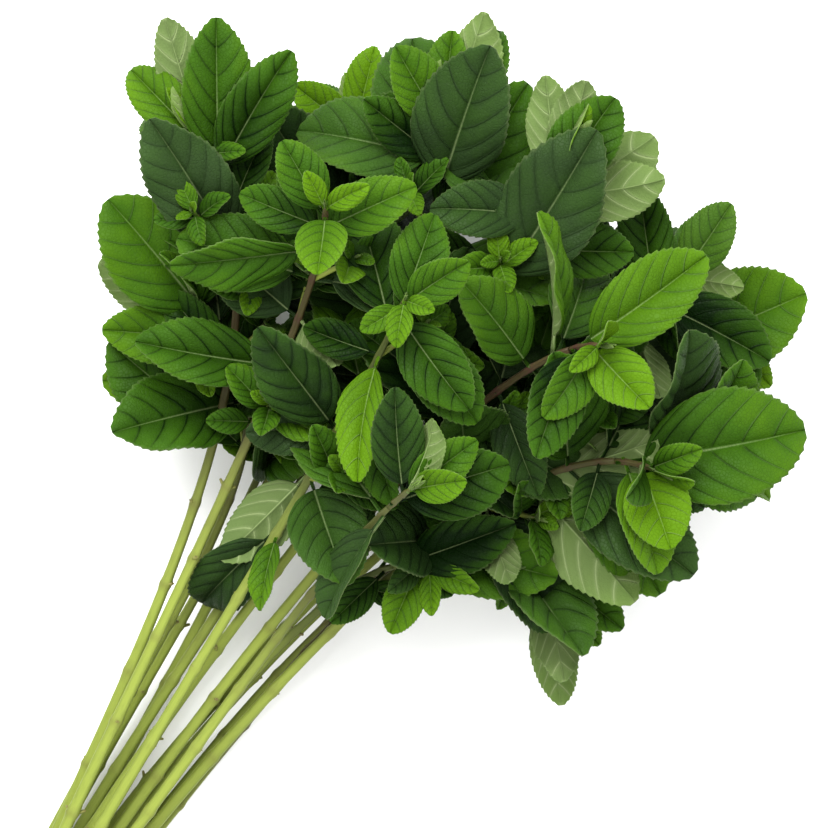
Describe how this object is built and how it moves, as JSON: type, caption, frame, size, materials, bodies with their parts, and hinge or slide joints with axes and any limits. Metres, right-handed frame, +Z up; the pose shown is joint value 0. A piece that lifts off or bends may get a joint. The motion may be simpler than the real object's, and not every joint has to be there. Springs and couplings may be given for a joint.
{
  "type": "bunch of mint sprigs",
  "caption": "Cut bunch of fresh mint lying on its side: leafy sprigs on square stems, gathered by a plain rubber band.",
  "frame": {"origin": "under the middle of the bunch's box, on the surface it lies on", "axes": "+Y along the bunch from the cut ends to the leafy crown, +Z up from the surface"},
  "size_m": [0.2812, 0.4394, 0.1361],
  "materials": {
    "stem": "satin",
    "young_leaf": "satin",
    "grown_leaf": "satin",
    "band": "matte"
  },
  "bodies": {
    "root": {"sprig_01_stem": "stem", "sprig_02_stem": "stem", "sprig_03_stem": "stem", "sprig_04_stem": "stem", "sprig_05_stem": "stem", "sprig_06_stem": "stem", "sprig_07_stem": "stem", "sprig_08_stem": "stem", "sprig_09_stem": "stem", "sprig_10_stem": "stem", "sprig_11_stem": "stem", "sprig_12_stem": "stem", "sprig_13_stem": "stem", "sprig_14_stem": "stem", "sprig_15_stem": "stem", "sprig_16_stem": "stem", "sprig_01_tip": "young_leaf", "sprig_02_tip": "young_leaf", "sprig_03_tip": "young_leaf", "sprig_04_tip": "young_leaf", "sprig_05_tip": "young_leaf", "sprig_06_tip": "young_leaf", "sprig_07_tip": "young_leaf", "sprig_08_tip": "young_leaf", "sprig_09_tip": "young_leaf", "sprig_10_tip": "young_leaf", "sprig_11_tip": "young_leaf", "sprig_12_tip": "young_leaf", "sprig_13_tip": "young_leaf", "sprig_14_tip": "young_leaf", "sprig_15_tip": "young_leaf", "sprig_16_tip": "young_leaf", "sprig_01_leaves_a": "grown_leaf", "sprig_02_leaves_a": "grown_leaf", "sprig_03_leaves_a": "grown_leaf", "sprig_04_leaves_a": "grown_leaf", "sprig_05_leaves_a": "grown_leaf", "sprig_06_leaves_a": "grown_leaf", "sprig_07_leaves_a": "grown_leaf", "sprig_08_leaves_a": "grown_leaf", "sprig_09_leaves_a": "grown_leaf", "sprig_10_leaves_a": "grown_leaf", "sprig_11_leaves_a": "grown_leaf", "sprig_12_leaves_a": "grown_leaf", "sprig_13_leaves_a": "grown_leaf", "sprig_14_leaves_a": "grown_leaf", "sprig_15_leaves_a": "grown_leaf", "sprig_16_leaves_a": "grown_leaf", "sprig_01_leaves_b": "grown_leaf", "sprig_02_leaves_b": "grown_leaf", "sprig_03_leaves_b": "grown_leaf", "sprig_04_leaves_b": "grown_leaf", "sprig_06_leaves_b": "grown_leaf", "sprig_07_leaves_b": "grown_leaf", "sprig_08_leaves_b": "grown_leaf", "sprig_09_leaves_b": "grown_leaf", "sprig_11_leaves_b": "grown_leaf", "sprig_14_leaves_b": "grown_leaf", "band": "band"}
  },
  "joints": []
}
